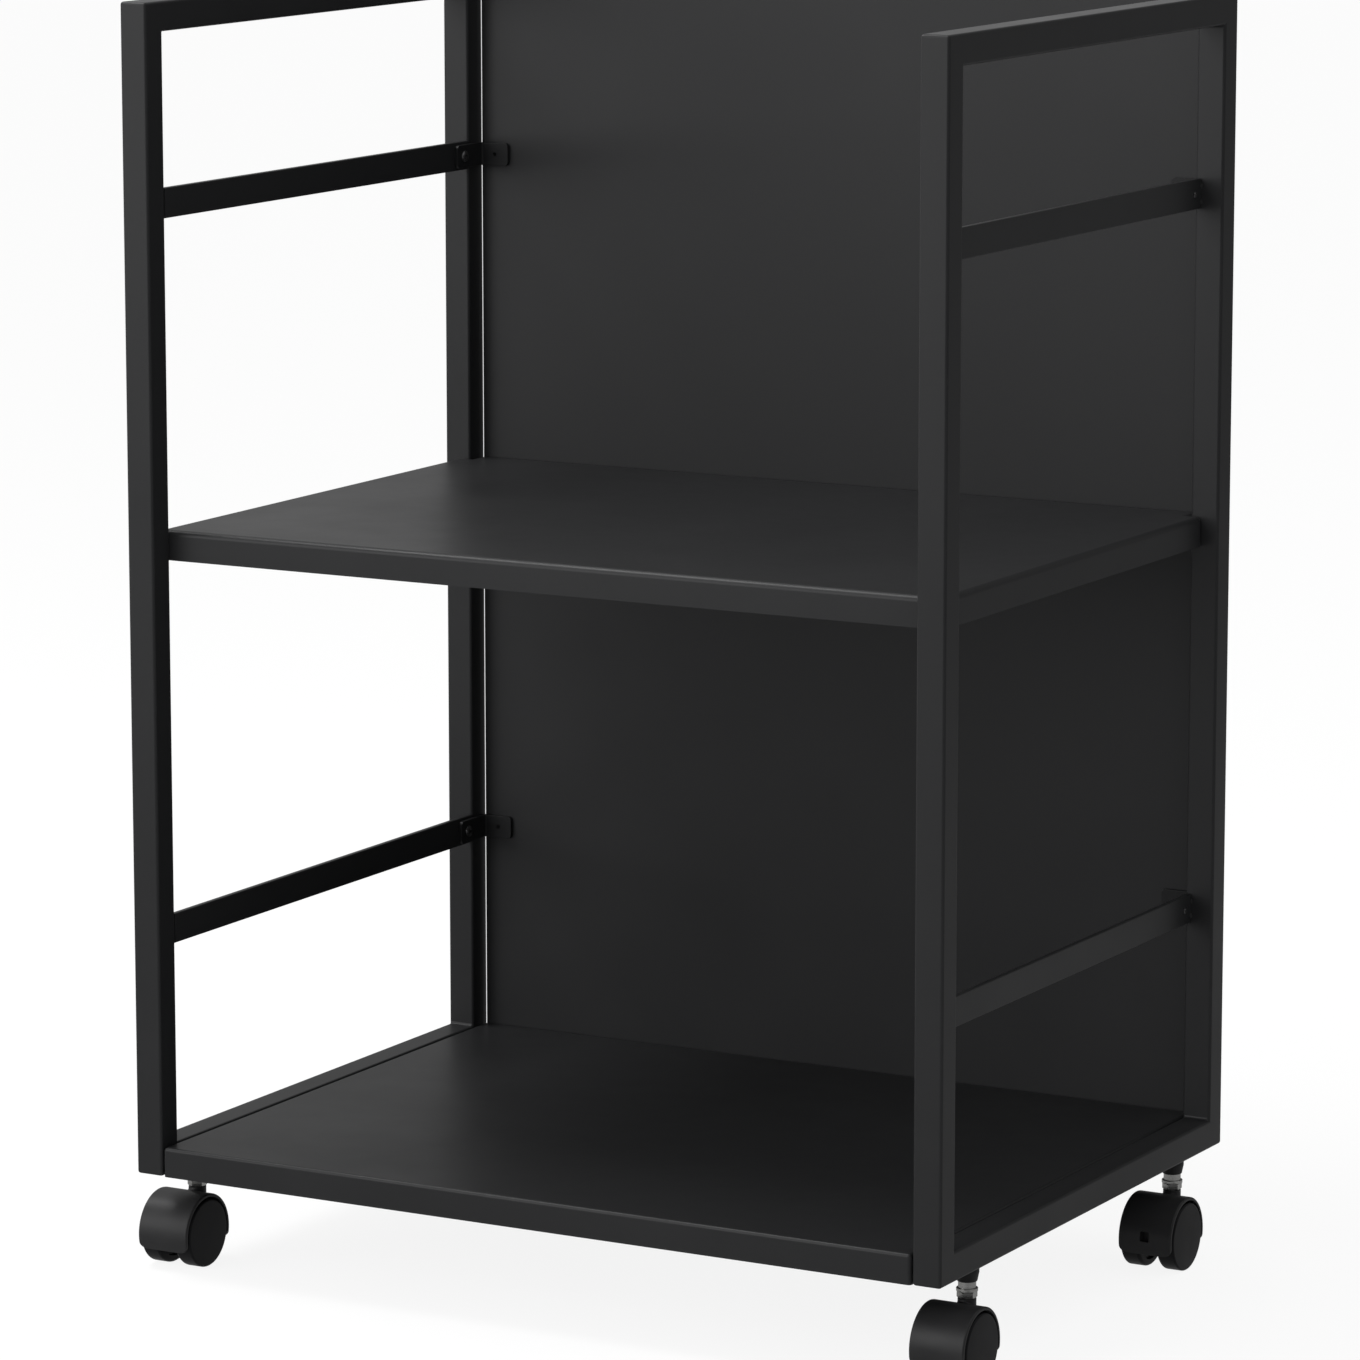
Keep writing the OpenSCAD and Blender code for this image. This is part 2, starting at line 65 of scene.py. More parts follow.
class Graph:
    # the node tree of a material or of the world
    def __init__(self, owner):
        owner.use_nodes = True
        self.tree = owner.node_tree
        self.tree.nodes.clear()

    def feed(self, socket, value):
        if isinstance(value, Wire):
            self.tree.links.new(value.socket, socket)
        else:
            socket.default_value = value

    def find(self, sockets, key):
        # a socket by its number, or by its identifier or name
        if isinstance(key, int):
            return sockets[key]
        return next((s for s in sockets if s.identifier == key), None) or sockets[key]

    def node(self, kind, settings=None, values=None, out=0):
        # settings are set first, then the values or wires of the sockets
        made = self.tree.nodes.new(kind)
        for key, value in (settings or {}).items():
            setattr(made, key, value)
        pairs = values.items() if isinstance(values, dict) else enumerate(values or [])
        for key, value in pairs:
            self.feed(self.find(made.inputs, key), value)
        return Wire(self, self.find(made.outputs, out)) if made.outputs else None

    def place(self):
        return self.node("ShaderNodeTexCoord", out="Object")

    def noise(self, scale, detail, roughness, stretch=(1, 1, 1)):
        spot = self.node("ShaderNodeMapping", None, {"Vector": self.place(), "Scale": stretch})
        values = {"Vector": spot, "Scale": scale, "Detail": detail, "Roughness": roughness}
        return self.node("ShaderNodeTexNoise", None, values)

    def spread(self, value, low, high, fromLow, fromHigh):
        return self.node("ShaderNodeMapRange", None, [value, fromLow, fromHigh, low, high])

    def blend(self, factor, first, second):
        values = {"Factor_Float": factor, "A_Color": first, "B_Color": second}
        return self.node("ShaderNodeMix", {"data_type": "RGBA"}, values, "Result_Color")

    def bump(self, height, distance):
        return self.node("ShaderNodeBump", None, {"Height": height, "Distance": distance, "Strength": 1.0})

    def surface(self, values):
        shader = self.node("ShaderNodeBsdfPrincipled", None, values)
        self.node("ShaderNodeOutputMaterial", None, {"Surface": shader})


def newMaterial(name):
    material = bpy.data.materials.new(name)
    return material, Graph(material)


def scaled(colour, times):
    return tuple(part * times for part in colour[:3]) + (1,)


# Materials; a grain or a cloud is the scale, detail and roughness of a noise

noiseRange = (0.3, 0.7)  # a noise seldom leaves this range
powderLook = {
    "tint": (0.0116, 0.0118, 0.0124, 1),
    "dull": (0.0146, 0.0148, 0.0154, 1),
    "grain": (900.0, 3.0, 0.55),
    "cloud": (9.0, 4.0, 0.6),
    "rough": (0.36, 0.44),
    "grainDepth": 0.00003,
    "specular": 0.15,
    # painted shade: the share by which the brackets' copy of the coat and its gloss are darkened
    "bracketPaintedShade": 0.72,
}


def powderCoat(name, shade=1.0):
    # a shade under 1 darkens both the coat and its gloss; the brackets use it for a darker copy of the tube
    # coat, which is painted shade
    material, graph = newMaterial(name)
    look = powderLook
    grain = graph.noise(*look["grain"])
    cloud = graph.noise(*look["cloud"])
    rough = graph.spread(cloud, *look["rough"], *noiseRange)
    graph.surface({
        "Base Color": graph.blend(cloud, scaled(look["tint"], shade), scaled(look["dull"], shade)),
        "Roughness": rough,
        "Specular IOR Level": look["specular"] * shade,
        "Normal": graph.bump(grain, look["grainDepth"]),
    })
    return material


nylonLook = {
    "cloud": (40.0, 3.0, 0.6),
    "cloudShade": 1.5,
    "rougher": (-0.05, 0.07),
    "grainDetail": (2.0, 0.5),
    "grainDepth": 0.00002,
    # name: tint, roughness, specular and scale of the grain
    "kinds": {
        "hoodNylon": ((0.0125, 0.0125, 0.013, 1), 0.4, 0.15, 1400.0),
        "wheelNylon": ((0.0045, 0.0045, 0.005, 1), 0.36, 0.08, 1100.0),
        "bushNylon": ((0.008, 0.008, 0.0085, 1), 0.45, 0.18, 1100.0),
    },
}


def nylon(name):
    look = nylonLook
    tint, rough, specular, grainScale = look["kinds"][name]
    material, graph = newMaterial(name)
    grain = graph.noise(grainScale, *look["grainDetail"])
    cloud = graph.noise(*look["cloud"])
    graph.surface({
        "Base Color": graph.blend(cloud, tint, scaled(tint, look["cloudShade"])),
        "Roughness": graph.spread(cloud, *(rough + more for more in look["rougher"]), *noiseRange),
        "Specular IOR Level": specular,
        "Normal": graph.bump(grain, look["grainDepth"]),
    })
    return material


zincLook = {
    "cloud": (220.0, 3.0, 0.6),
    "tints": ((0.3, 0.3, 0.29, 1), (0.46, 0.46, 0.45, 1)),
    "rings": (60.0, 2.0, 0.5, (1, 1, 30)),  # the last is the stretch that makes rings about the stem
    "rough": (0.2, 0.38),
}


def zincPlate(name):
    look = zincLook
    material, graph = newMaterial(name)
    cloud = graph.noise(*look["cloud"])
    rings = graph.noise(*look["rings"])
    graph.surface({
        "Base Color": graph.blend(cloud, *look["tints"]),
        "Metallic": 1.0,
        "Roughness": graph.spread(rings, *look["rough"], *noiseRange),
    })
    return material


oxideLook = {
    "cloud": (300.0, 3.0, 0.6),
    "tints": ((0.06, 0.06, 0.062, 1), (0.1, 0.1, 0.1, 1)),
    "metallic": 0.85,
    "rough": (0.24, 0.36),
}


def blackOxide(name):
    look = oxideLook
    material, graph = newMaterial(name)
    cloud = graph.noise(*look["cloud"])
    graph.surface({
        "Base Color": graph.blend(cloud, *look["tints"]),
        "Metallic": look["metallic"],
        "Roughness": graph.spread(cloud, *look["rough"], *noiseRange),
    })
    return material


slotMaterials = {
    "tube_coat": powderCoat("tubeCoat"),
    "sheet_coat": powderCoat("sheetCoat"),
    "hood_plastic": nylon("hoodNylon"),
    "wheel_plastic": nylon("wheelNylon"),
    "bush_plastic": nylon("bushNylon"),
    "screw_black": blackOxide("screwBlack"),
    "zinc": zincPlate("zincPlate"),
}
# the brackets get a darker copy of the tube coat, as painted shade
bracketPaintedShadeCoat = powderCoat("bracketPaintedShadeCoat", powderLook["bracketPaintedShade"])
for part in frame["record"]["subparts"]:
    piece = nodes[part["node"]]
    piece.data.materials.clear()
    piece.data.materials.append(slotMaterials[part["material_slot"]])
print("materials made:", len(slotMaterials))


# Modelling helpers; sizes are in millimetres

mm = 0.001
along = 0.9  # a direction with more than this of an axis lies along it
near = 0.1  # two places are the same within this
beyond = 1  # how far past its target a tool or a test reaches
hexSides = 6
mergeReach = 0.002
smoothAngle = 35


def pickNothing():
    if bpy.context.object and bpy.context.object.mode != "OBJECT":
        bpy.ops.object.mode_set(mode="OBJECT")
    bpy.ops.object.select_all(action="DESELECT")


def pickOnly(*pieces):
    pickNothing()
    for piece in pieces:
        piece.select_set(True)
    bpy.context.view_layer.objects.active = pieces[0]


def openPiece(name):
    # names the new primitive, puts its place in its mesh and opens it with nothing selected
    piece = bpy.context.object
    piece.name = piece.data.name = name
    bpy.ops.object.transform_apply(location=True, rotation=True, scale=True)
    bpy.ops.object.mode_set(mode="EDIT")
    bpy.ops.mesh.select_all(action="DESELECT")
    return piece


def addBlock(name, low, high):
    # a box between two corners
    pickNothing()
    middle = [(a + b) / 2 * mm for a, b in zip(low, high)]
    size = [abs(b - a) * mm for a, b in zip(low, high)]
    bpy.ops.mesh.primitive_cube_add(size=1, location=middle, scale=size)
    return openPiece(name)


def addRod(name, radius, start, end, sides=64):
    # a cylinder from one point to another
    pickNothing()
    start, end = Vector(start) * mm, Vector(end) * mm
    turn = (end - start).to_track_quat("Z", "Y").to_euler()
    bpy.ops.mesh.primitive_cylinder_add(vertices=sides, radius=radius * mm, depth=(end - start).length,
                                        location=(start + end) / 2, rotation=turn)
    return openPiece(name)


def roundCorners(points, steps=6):
    # corners are (radius, height) or (radius, height, rounding); a rounding becomes a short arc
    line = []
    for number, (x, y, *rounding) in enumerate(points):
        if not rounding:
            line.append((x, y))
            continue
        here = Vector((x, y))
        back = (Vector(points[number - 1][:2]) - here).normalized()
        ahead = (Vector(points[number + 1][:2]) - here).normalized()
        half = back.angle(ahead) / 2
        reach = rounding[0] / math.tan(half)
        middle = here + (back + ahead).normalized() * rounding[0] / math.sin(half)
        first, last = (here + way * reach - middle for way in (back, ahead))
        for step in range(steps + 1):
            spot = middle + first.normalized().slerp(last.normalized(), step / steps) * rounding[0]
            line.append((spot.x, spot.y))
    return line


def lathe(name, points, middle=(0, 0, 0), way=(0, 0, 1), steps=64):
    # a point is extruded along the profile, which is spun round its axis and laid along the given way
    pickNothing()
    bpy.ops.mesh.primitive_plane_add(size=mm, location=(0, 0, 0))
    piece = bpy.context.object
    bpy.ops.object.mode_set(mode="EDIT")
    bpy.ops.mesh.select_mode(type="VERT")
    bpy.ops.mesh.select_all(action="SELECT")
    bpy.ops.mesh.merge(type="CENTER")
    bpy.ops.transform.translate(value=(points[0][0] * mm, 0, points[0][1] * mm))
    for (x0, z0), (x1, z1) in zip(points, points[1:]):
        step = ((x1 - x0) * mm, 0, (z1 - z0) * mm)
        bpy.ops.mesh.extrude_vertices_move(TRANSFORM_OT_translate={"value": step})
    bpy.ops.mesh.select_all(action="SELECT")
    bpy.ops.mesh.spin(steps=steps, angle=2 * math.pi, center=(0, 0, 0), axis=(0, 0, 1))
    bpy.ops.mesh.select_all(action="SELECT")
    bpy.ops.mesh.remove_doubles(threshold=mergeReach * mm)
    bpy.ops.mesh.normals_make_consistent(inside=False)
    bpy.ops.object.mode_set(mode="OBJECT")
    piece.rotation_euler = Vector(way).to_track_quat("Z", "Y").to_euler()
    piece.location = Vector(middle) * mm
    return openPiece(name)


def select(piece, kind, test):
    # selects the faces or edges whose middle and direction pass the test
    bpy.ops.mesh.select_all(action="DESELECT")
    bpy.ops.mesh.select_mode(type=kind)
    shape = bmesh.from_edit_mesh(piece.data)
    for part in shape.faces if kind == "FACE" else shape.edges:
        if kind == "FACE":
            spot, way = part.calc_center_median(), part.normal
        else:
            first, last = (corner.co for corner in part.verts)
            spot, way = (first + last) / 2, (last - first).normalized()
        if test(spot / mm, way):
            part.select_set(True)
    shape.select_flush_mode()
    bmesh.update_edit_mesh(piece.data)


def bevelPicked(radius, segments):
    bpy.ops.mesh.bevel(offset=radius * mm, segments=segments, profile=0.5, affect="EDGES")


def bevelSharp(radius, segments, angle):
    # rounds every edge of the open piece that turns by more than the angle
    bpy.ops.mesh.select_mode(type="EDGE")
    bpy.ops.mesh.select_all(action="DESELECT")
    bpy.ops.mesh.edges_select_sharp(sharpness=math.radians(angle))
    bevelPicked(radius, segments)


def breakEdges(radius):
    # a slight bevel along the sharp edges of the open piece
    bevelSharp(radius, segments=2, angle=60)


def extrudePicked(x=0, y=0):
    bpy.ops.mesh.extrude_region_move(TRANSFORM_OT_translate={"value": (x * mm, y * mm, 0)})


def applyModifier(piece, kind, **settings):
    pickOnly(piece)
    modifier = piece.modifiers.new(kind.lower(), kind)
    for key, value in settings.items():
        setattr(modifier, key, value)
    bpy.ops.object.modifier_apply(modifier=modifier.name)


def carve(piece, tool, operation="DIFFERENCE"):
    # cuts the tool out of the piece, or joins it to it, and throws it away
    applyModifier(piece, "BOOLEAN", operation=operation, object=tool, solver="EXACT")
    bpy.data.objects.remove(tool)


def bevelModified(piece, width, angle):
    applyModifier(piece, "BEVEL", width=width * mm, segments=2, limit_method="ANGLE",
                  angle_limit=math.radians(angle))


def copyPiece(piece, name, shift=(0, 0, 0), turn=(0, 0, 0)):
    # a copy with its own mesh, turned about the origin and then moved
    pickOnly(piece)
    bpy.ops.object.duplicate(linked=False)
    copy = bpy.context.object
    copy.name = copy.data.name = name
    copy.rotation_euler = [math.radians(angle) for angle in turn]
    copy.location = Vector(shift) * mm
    bpy.ops.object.transform_apply(location=True, rotation=True, scale=True)
    return copy


def joinPieces(name, pieces):
    pickOnly(*pieces)
    bpy.ops.object.join()
    piece = bpy.context.object
    piece.name = piece.data.name = name
    return piece


def finishPiece(piece, body, slotName, *replaced):
    # outward normals, smooth shading that keeps flat faces flat, finish and body
    pickOnly(piece)
    bpy.ops.object.mode_set(mode="EDIT")
    bpy.ops.mesh.select_all(action="SELECT")
    bpy.ops.mesh.normals_make_consistent(inside=False)
    bpy.ops.object.mode_set(mode="OBJECT")
    bpy.ops.object.shade_smooth_by_angle(angle=math.radians(smoothAngle))
    applyModifier(piece, "WEIGHTED_NORMAL", keep_sharp=True)
    piece.data.materials.clear()
    piece.data.materials.append(slotMaterials[slotName])
    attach(piece, body)
    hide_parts(*replaced)


# Side frames: each a ring of square tube, welded at the corners and ground smooth

frameLook = {
    "out": 300,
    "tube": 20,
    "depth": 425,
    "low": 70,
    "high": 850,
    "rounding": 2.0,
    "segments": 4,
    "sharp": 40,  # edges that turn by more degrees are rounded
}


def makeSideFrame(side, word):
    look = frameLook
    half = look["depth"] / 2
    inner, outer = side * (look["out"] - look["tube"]), side * look["out"]
    piece = addBlock(word + "SideFrame", (inner, -half, look["low"]), (outer, half, look["high"]))
    select(piece, "FACE", lambda spot, way: abs(way.x) > along)
    bpy.ops.mesh.inset(thickness=look["tube"] * mm)
    bpy.ops.mesh.bridge_edge_loops()
    bevelSharp(look["rounding"], look["segments"], look["sharp"])
    finishPiece(piece, "trolley", "tube_coat",
                *(f"{word}_{part}" for part in ("front_post", "rear_post", "top_rail", "bottom_rail")))


for side, word in ((-1, "left"), (1, "right")):
    makeSideFrame(side, word)
print("side frames made")


# Cross bars: flat steel, tacked to the posts on the outside

barLook = {
    "inner": 280,
    "thickness": 4,
    "height": 20,
    "end": 192.5,
    "rounding": 0.8,
    "segments": 3,
    "levels": {"Upper": 718.5, "Lower": 235.5},
    "tackRadius": 1.1,
    "tackRounding": 0.9,  # share of the radius
    "tackLength": 3.4,
    "tackSides": 14,
    "tackRise": 5,
}


def makeTack():
    # a short bead of weld, standing on end
    look = barLook
    half, thick = look["tackLength"] / 2, look["tackRadius"]
    rounding = look["tackRounding"] * thick
    line = [(0, -half), (thick, -half, rounding), (thick, half, rounding), (0, half)]
    piece = lathe("weldTack", roundCorners(line, 3), steps=look["tackSides"])
    pickNothing()
    return piece


def makeCrossBar(side, word, level, tack):
    look = barLook
    z = look["levels"][level]
    outer = side * (look["inner"] + look["thickness"])
    rise = look["height"] / 2
    end = look["end"]
    piece = addBlock("bar", (side * look["inner"], -end, z - rise), (outer, end, z + rise))
    select(piece, "EDGE", lambda spot, way: abs(way.y) > along)
    bevelPicked(look["rounding"], look["segments"])
    tacks = [copyPiece(tack, "tack", (outer, y, z + lift))
             for y in (-end, end) for lift in (-look["tackRise"], look["tackRise"])]
    piece = joinPieces(f"{word}{level}Bar", [piece] + tacks)
    finishPiece(piece, "trolley", "tube_coat", f"{word}_{level.lower()}_bar")


weldTack = makeTack()
for side, word in ((-1, "left"), (1, "right")):
    for level in barLook["levels"]:
        makeCrossBar(side, word, level, weldTack)
bpy.data.objects.remove(weldTack)
print("cross bars made")


# Shelves: sheet folded down along every edge

shelfLook = {
    "sheet": 1.5,
    "fold": 2.5,
    "middleFold": 4.0,
    "segments": 6,
    "sharp": 40,  # edges that turn by more degrees are rounded
    "flat": 1,  # faces that turn by less than this many degrees are merged
    "flange": 20,
    "bottomTop": 90,
    "bottomHalfWidth": 279,
    "bottomFront": -212.5,
    "panelFace": 209,
    "middleTop": 503,
    "middleHalfWidth": 288.5,
    "middleEnd": 192.5,
}


def foldSheet(piece, radius):
    # opens the block below, rounds its folds and gives the sheet its thickness
    look = shelfLook
    select(piece, "FACE", lambda spot, way: way.z < -along)
    bpy.ops.mesh.delete(type="FACE")
    bevelSharp(radius, look["segments"], look["sharp"])
    bpy.ops.object.mode_set(mode="OBJECT")
    applyModifier(piece, "SOLIDIFY", thickness=look["sheet"] * mm, offset=-1, use_even_offset=True)


def makeBottomShelf():
    look = shelfLook
    half, top = look["bottomHalfWidth"], look["bottomTop"]
    piece = addBlock("bottomShelf", (-half, look["bottomFront"], top - look["flange"]),
                     (half, look["panelFace"], top))
    foldSheet(piece, look["fold"])
    finishPiece(piece, "trolley", "sheet_coat", "bottom_shelf")


def makeMiddleShelf():
    # as wide as reaches over the bars, and narrower behind, where it passes between the rear posts
    look = shelfLook
    half, slim, end = look["middleHalfWidth"], look["bottomHalfWidth"], look["middleEnd"]
    top = look["middleTop"]
    piece = addBlock("middleShelf", (-half, -end, top - look["flange"]), (half, end, top))
    for side in (-1, 1):
        bpy.ops.mesh.select_all(action="SELECT")
        bpy.ops.mesh.bisect(plane_co=(side * slim * mm, 0, 0), plane_no=(1, 0, 0))
    select(piece, "FACE", lambda spot, way: way.y > along and abs(spot.x) < slim / 2)
    extrudePicked(y=look["panelFace"] - end)
    bpy.ops.mesh.select_all(action="SELECT")
    bpy.ops.mesh.dissolve_limited(angle_limit=math.radians(look["flat"]))
    foldSheet(piece, look["middleFold"])
    finishPiece(piece, "trolley", "sheet_coat", "middle_shelf")


makeBottomShelf()
makeMiddleShelf()
print("shelves made")


# Back panel: a plain sheet with round corners

panelLook = {
    "halfWidth": 278.5,
    "front": 209,
    "back": 210.5,
    "low": 70,
    "high": 850,
    "corner": 3,
    "segments": 5,
    "edge": 0.35,
}


def makeBackPanel():
    look = panelLook
    half = look["halfWidth"]
    piece = addBlock("backPanel", (-half, look["front"], look["low"]), (half, look["back"], look["high"]))
    select(piece, "EDGE", lambda spot, way: abs(way.y) > along)
    bevelPicked(look["corner"], look["segments"])
    breakEdges(look["edge"])
    finishPiece(piece, "trolley", "sheet_coat", "back_panel")


makeBackPanel()
print("back panel made")


# Brackets: plate bent to an L, one leg on the cross bar and one on the panel

bracketLook = {
    "plate": 3,
    "height": 16,
    "barLegEnd": 173.5,
    "panelLegEnd": 256,
    "bend": 4.5,
    "bendSegments": 7,
    "corner": 2.5,
    "cornerSegments": 5,
    "edge": 0.35,
}


def makeBracket(side, word, level):
    look = bracketLook
    thick, rise = look["plate"], look["height"] / 2
    z = barLook["levels"][level]
    face, inner = panelLook["front"], barLook["inner"]
    barEnd, panelEnd = look["barLegEnd"], look["panelLegEnd"]
    piece = addBlock(f"{word}{level}Bracket", (side * (inner - thick), barEnd, z - rise),
                     (side * inner, face - thick, z + rise))
    select(piece, "FACE", lambda spot, way: way.y > along)
    extrudePicked(y=thick)
    select(piece, "FACE", lambda spot, way: side * way.x < -along and spot.y > face - thick)
    extrudePicked(x=side * (panelEnd - inner + thick))
    # outside of the bend, inside of the bend, then the corners of both legs
    select(piece, "EDGE", lambda spot, way: abs(way.z) > along
           and spot.y > face - near and side * spot.x > inner - near)
    bevelPicked(look["bend"], look["bendSegments"])
    select(piece, "EDGE", lambda spot, way: abs(way.z) > along
           and abs(spot.y - face + thick) < near and abs(side * spot.x - inner + thick) < near)
    bevelPicked(look["bend"] - thick, look["bendSegments"])
    select(piece, "EDGE", lambda spot, way: abs(way.x) > along and spot.y < barEnd + near
           or abs(way.y) > along and side * spot.x < panelEnd + near)
    bevelPicked(look["corner"], look["cornerSegments"])
    breakEdges(look["edge"])
    finishPiece(piece, "trolley", "tube_coat", f"{word}_{level.lower()}_bracket")
    # painted shade: the bracket wears the darker copy of the tube coat
    piece.data.materials[0] = bracketPaintedShadeCoat


for side, word in ((-1, "left"), (1, "right")):
    for level in barLook["levels"]:
        makeBracket(side, word, level)
print("brackets made")


# Screws: button heads with a hexagon socket

screwLook = {
    "radius": 2,
    "tip": 0.5,
    "headRadius": 4,
    "headEdge": 0.45,
    "headTop": 2,
    "flatRadius": 2.1,
    "domeSteps": 6,
    "sides": 36,
    "socket": 2.5,
    "socketDepth": 1.2,
    "bracketDepth": 182,
    "panelSide": 266.5,
    "shelfDepths": (-100, 100),
    "shelfRise": 80,
    "lengths": (8.2, 4.5, 11.5),  # threads in the brackets, the panel and the shelf
}


def screwPlaces():
    # group: node, thread length and the places as (x, y, z) with the turn of the screw
    look = screwLook
    inBracket, inPanel, inShelf = look["lengths"]
    sides = (-1, 1)
    levels = sorted(barLook["levels"].values())
    legFace = barLook["inner"] - bracketLook["plate"]
    flangeFace = shelfLook["bottomHalfWidth"] - shelfLook["sheet"]
    bracket = [((s * legFace, look["bracketDepth"], z), (0, -s * 90, 0)) for s in sides for z in levels]
    panel = [((s * look["panelSide"], panelLook["back"], z), (-90, 0, 0)) for s in sides for z in levels]
    shelf = [((s * flangeFace, y, look["shelfRise"]), (0, -s * 90, 0))
             for s in sides for y in look["shelfDepths"]]
    return {
        "bracketScrews": ("bracket_screws", inBracket, bracket),
        "panelScrews": ("panel_screws", inPanel, panel),
        "shelfScrews": ("shelf_screws", inShelf, shelf),
    }


def makeScrew(length):
    # the head stands on the plane z = 0 and the thread reaches down
    look = screwLook
    radius, head, tip = look["radius"], look["headRadius"], look["tip"]
    edge, top, steps = look["headEdge"], look["headTop"], look["domeSteps"]
    angles = [math.radians(90 / steps * step) for step in range(steps + 1)]
    inward = head - look["flatRadius"]
    dome = [(head - inward * (1 - math.cos(a)), edge + (top - edge) * math.sin(a)) for a in angles]
    line = [(0, -length), (radius - tip, -length), (radius, tip - length), (radius, 0), (head, 0)]
    piece = lathe("screw", line + dome + [(0, top)], steps=look["sides"])
    across = look["socket"] / math.sqrt(3)
    bore = addRod("socketTool", across, (0, 0, top - look["socketDepth"]), (0, 0, top + beyond), hexSides)
    pickNothing()
    carve(piece, bore)
    return piece


def makeScrewGroup(name, node, length, places):
    screw = makeScrew(length)
    copies = [copyPiece(screw, "screwCopy", spot, turn) for spot, turn in places]
    bpy.data.objects.remove(screw)
    finishPiece(joinPieces(name, copies), "trolley", "screw_black", node)


for name, settings in screwPlaces().items():
    makeScrewGroup(name, *settings)
print("screws made")


# Casters, modelled about the stem's axis and copied to the four corners

casterLook = {
    "trail": 17,
    "axleHeight": 23,
    "corners": {"front_left": (-290, -155, 0), "front_right": (290, -155, 0),
                "rear_left": (-290, 155, 0), "rear_right": (290, 155, 0)},
}
wheelLook = {
    "radius": 23,
    "inside": 6.5,
    "edge": 19.7,
    "shoulder": 1.4,
    "crown": 0.5,
    "insideRounding": 2.2,
    "bore": 3.05,
    "boreEnd": 17.7,
    "hub": 7.5,
    "grooveDepth": 2.2,
    "grooveEnd": 18.5,
    "grooveSlope": 0.6,
    "crownSteps": 7,
    "sides": 96,
}
hoodLook = {
    "radius": 26.8,
    "wall": 2.3,
    "halfWidth": 19.2,
    "edge": 1.2,
    "foot": 14,
    "footRounding": 6,
    "web": 5.5,
    "chamberRounding": 0.8,
    "mouth": (1, 0.8),  # how much a chamber's mouth widens, and over what depth
    "mouthRounding": 1,
    "boss": 6,
    "bossHalf": 6.5,
    "bossSides": 48,
    "socket": 6,
    "socketTop": 50,
    "socketEdge": 0.5,
    "socketRoot": 0.9,
    "bore": 3.55,
    "boreDepth": 3,
    "flareReach": 2.2,
    "flareRise": 2.4,
    "flareRoot": 0.03,
    "flareSteps": 6,
    "underRings": (0.999, 0.6, 0.3, 0),  # rings of the socket's underside, as shares of the flare's reach
    # latch window of the rear hoods: half width, half height, rise over the axle, depth
    "window": (3.25, 3.5, 3.5, 6),
    "windowRounding": 0.6,
    # the cutting tools' sizes past the web, past the sides, before and behind the axle, and above the floor
    "webSlack": 0.5,
    "sideSlack": 0.01,
    "toolReach": 30,
    "toolTop": 60,
    "bevel": 0.22,
    "bevelAngle": 40,
    "sides": 96,
}
stemLook = {
    "pin": 3.5,
    "pinLow": 31,
    "pinEdge": 0.8,
    "pinBury": 0.4,
    "hexLow": 50.2,
    "hexHigh": 54.4,
    "hexAcross": 11.5,
    "hexChamfer": (0.1, 1, 0.65),  # cone on the hexagon's ends: start inside the flats, reach and rise
    "hexBevel": 0.15,
    "hexBevelAngle": 25,
    "washer": 7,
    "washerHigh": 56.7,
    "washerEdge": 0.35,
    "collar": 5.8,
    "collarEdge": 0.3,
    "bushLow": 61,
    "railLow": 70,
    "thread": 4,
    "threadEdge": 0.6,
    "top": 84,
    "bushFoot": 6.5,
    "bushTop": 7.75,
    "bushFlare": 6,
    "bushNeck": 6,
    "bushEdges": (0.5, 1.2, 0.3),  # roundings of the foot, the flare's end and the top
    "railGap": 0.05,
    "slack": 0.03,
    "bury": 0.1,  # how far touching turned parts run into each other
    "sides": 48,
    "shaftSides": 40,
}


def makeWheel():
    # the disc faces +X
    look = wheelLook
    inside, edge, steps = look["inside"], look["edge"], look["crownSteps"]
    flat = look["radius"] - look["shoulder"]
    dome = (flat ** 2 + look["crown"] ** 2) / (2 * look["crown"])
    high = edge + look["crown"]
    slope, deep = look["grooveSlope"], inside + look["grooveDepth"]
    corners = [
        (0, look["boreEnd"]), (look["bore"], look["boreEnd"]), (look["bore"], inside), (look["hub"], inside),
        (look["hub"] + slope, deep), (look["grooveEnd"] - slope, deep), (look["grooveEnd"], inside),
        (look["radius"], inside, look["insideRounding"]), (look["radius"], edge, look["shoulder"]),
        (0, edge),
    ]
    # the last corner only leads the shoulder's arc; the crown takes its place
    rim = roundCorners(corners, 8)[:-1]
    reaches = [flat * (steps - 1 - k) / steps for k in range(steps)]
    crown = [(reach, high - dome + math.sqrt(dome ** 2 - reach ** 2)) for reach in reaches]
    middle = (0, -casterLook["trail"], casterLook["axleHeight"])
    piece = lathe("wheel", rim + crown, middle, (1, 0, 0), look["sides"])
    pickNothing()
    return piece


def hoodHeight(y):
    # height of the hood's outer surface above the floor
    across = y + casterLook["trail"]
    return casterLook["axleHeight"] + math.sqrt(max(hoodLook["radius"] ** 2 - across ** 2, 0))


